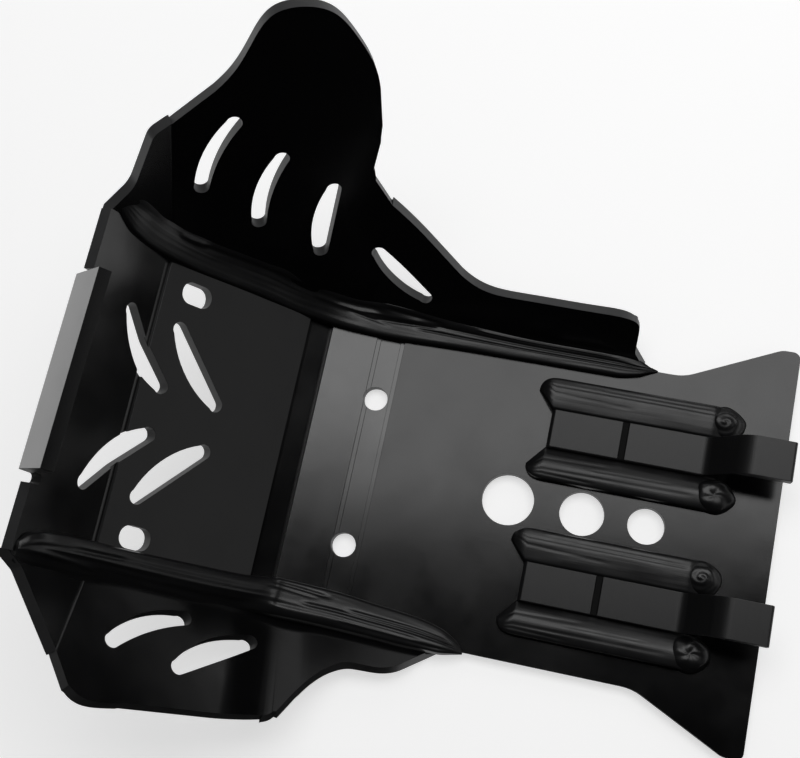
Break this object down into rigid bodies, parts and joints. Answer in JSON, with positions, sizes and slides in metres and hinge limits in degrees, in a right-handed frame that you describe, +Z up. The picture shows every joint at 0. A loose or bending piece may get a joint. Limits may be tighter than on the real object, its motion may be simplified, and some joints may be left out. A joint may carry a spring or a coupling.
{
  "type": "motorcycle skid plate",
  "caption": "Folded thick plastic skid plate for the underside of a motorcycle engine, with slotted side wings, a folded front lip and raised rear hooks welded on.",
  "frame": {"origin": "on the underside of the belly, halfway between the two bolt holes", "axes": "+X to the front of the motorcycle, +Y to its left, +Z up; the belly lies level"},
  "size_m": [0.4313, 0.3956, 0.2314],
  "materials": {
    "plastic_sheet": "satin",
    "weld_bead": "smooth, drawn lengthwise"
  },
  "bodies": {
    "root": {"main_plate": "plastic_sheet", "right_wing": "plastic_sheet", "left_wing": "plastic_sheet", "right_hook": "plastic_sheet", "left_hook": "plastic_sheet", "right_wing_bead": "weld_bead", "left_wing_bead": "weld_bead", "right_hook_outer_bead": "weld_bead", "right_hook_inner_bead": "weld_bead", "left_hook_inner_bead": "weld_bead", "left_hook_outer_bead": "weld_bead"}
  },
  "joints": []
}
